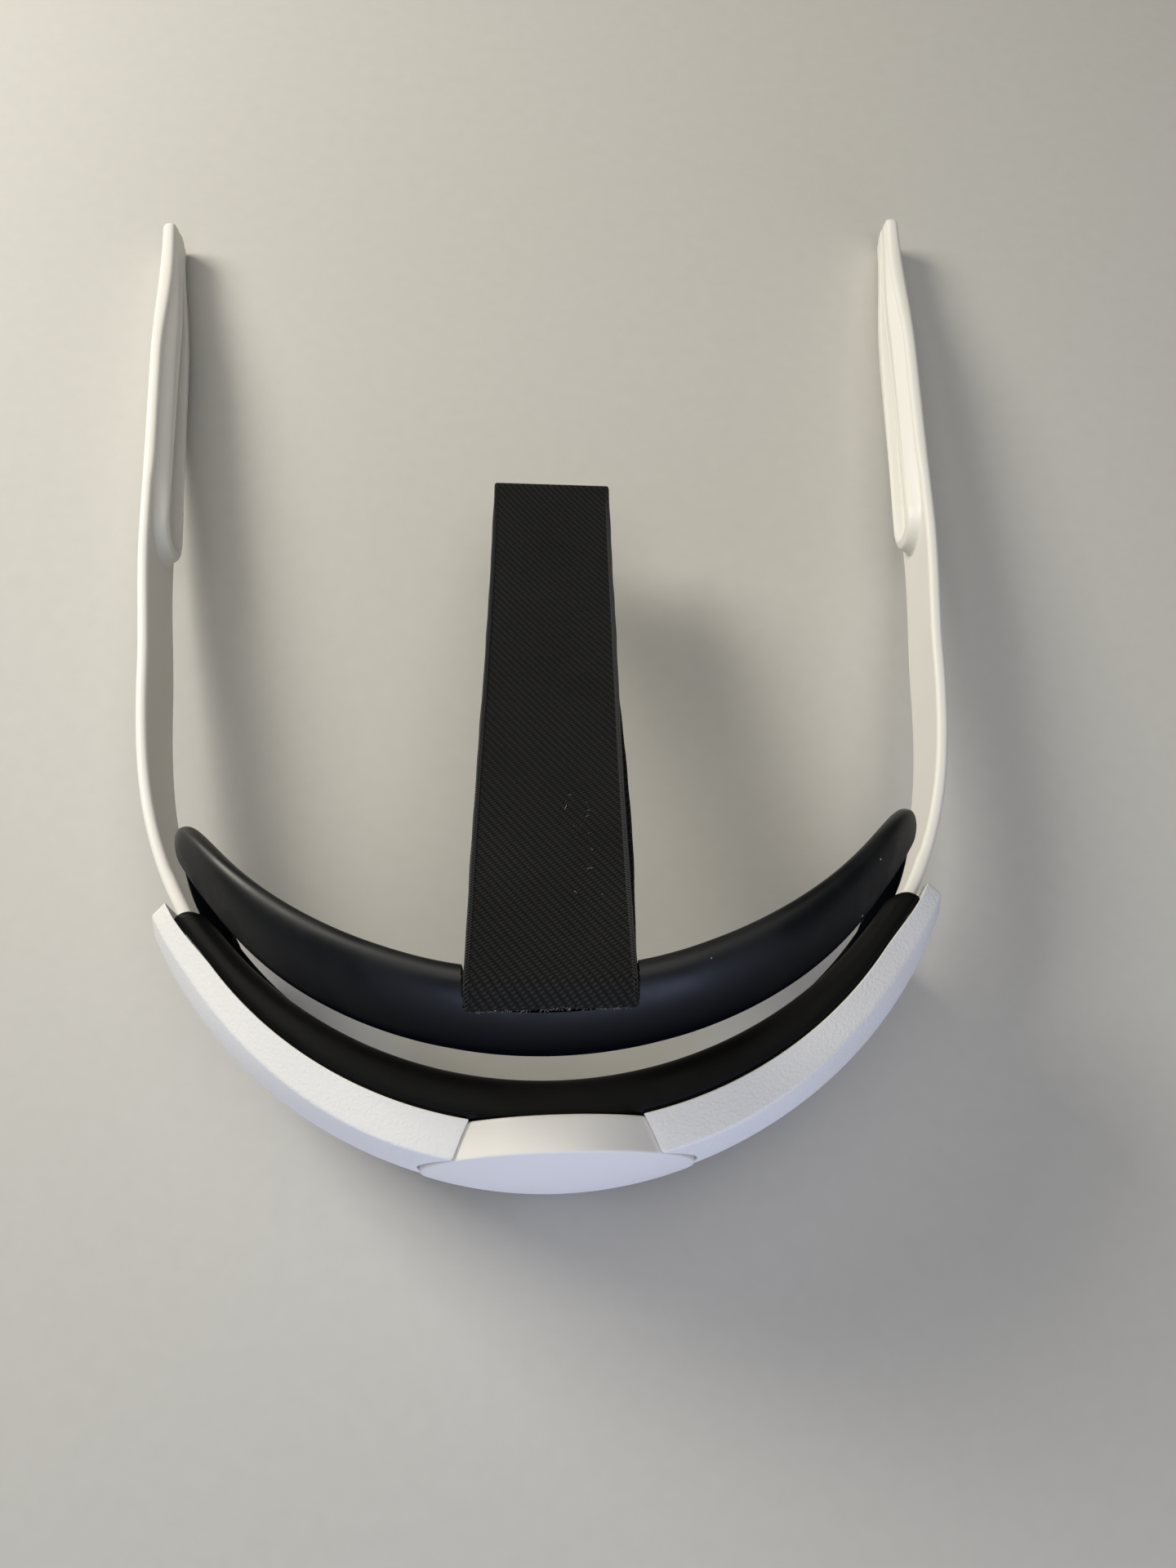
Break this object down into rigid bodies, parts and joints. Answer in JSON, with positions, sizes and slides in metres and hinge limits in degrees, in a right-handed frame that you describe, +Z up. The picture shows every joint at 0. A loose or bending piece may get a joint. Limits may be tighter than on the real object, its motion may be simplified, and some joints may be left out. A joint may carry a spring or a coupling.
{
  "type": "vr headset head strap",
  "caption": "Rigid rear head strap of a head-worn display: a fit wheel draws the side arms in or out, a soft ring cups the back of the head and a webbing strap lies over the top.",
  "frame": {"origin": "centre of the footprint, on the table that the strap is put down on", "axes": "+Y toward the face, +Z up from the table, +X toward the wearer's right"},
  "size_m": [0.1916, 0.2403, 0.0756],
  "materials": {
    "white_shell": "warm white, fine moulded grain",
    "white_wheel": "white, smooth satin",
    "white_arm": "white, satin",
    "black_cover": "black, matte moulded",
    "black_plate": "black, smooth",
    "soft_rubber": "black soft-touch",
    "webbing": "black ribbed webbing",
    "hook_tape": "black hook tape",
    "gear_plastic": "natural, machined",
    "screw_steel": "plated",
    "bar_steel": "bright drawn",
    "bushing_brass": "turned"
  },
  "bodies": {
    "cradle": {"rear_cover": "white_shell", "inner_cover": "black_cover", "cover_screws": "screw_steel", "halo_plate": "black_plate", "halo_pad": "soft_rubber", "halo_screws": "screw_steel", "strap_bar": "bar_steel", "shaft_bushing": "bushing_brass", "thrust_washer": "gear_plastic", "click_leaf": "bar_steel", "leaf_screw": "screw_steel"},
    "wheel": {"wheel_knob": "white_wheel", "wheel_cap": "white_wheel", "pinion": "gear_plastic", "wheel_screw": "screw_steel"},
    "left_side": {"left_arm": "white_arm", "left_rack": "gear_plastic", "left_rivets": "screw_steel", "left_clip": "white_arm"},
    "right_side": {"right_arm": "white_arm", "right_rack": "gear_plastic", "right_rivets": "screw_steel", "right_clip": "white_arm"},
    "strap": {"top_strap": "webbing", "hook_tape": "hook_tape"}
  },
  "joints": [
    {"name": "wheel_turn", "type": "hinge", "parent": "cradle", "child": "wheel", "pos_m": [0, -0.11311, 0.02746], "axis": [0, 0.9955, -0.0949], "range_deg": [-141, 101]},
    {"name": "left_arm_slide", "type": "hinge", "parent": "cradle", "child": "left_side", "pos_m": [0, -0.0265, 0.0192], "axis": [0, 0.0949, 0.9955], "range_deg": [-7, 5]},
    {"name": "right_arm_slide", "type": "hinge", "parent": "cradle", "child": "right_side", "pos_m": [0, -0.0265, 0.0192], "axis": [0, 0.0949, 0.9955], "range_deg": [-5, 7]},
    {"name": "strap_swing", "type": "hinge", "parent": "cradle", "child": "strap", "pos_m": [0, -0.09095, 0.07011], "axis": [1, 0, 0], "range_deg": [-8, 40]}
  ],
  "couplings": [
    {"joint": "left_arm_slide", "follows": "wheel_turn", "ratio": 0.049383},
    {"joint": "right_arm_slide", "follows": "wheel_turn", "ratio": -0.049383}
  ]
}
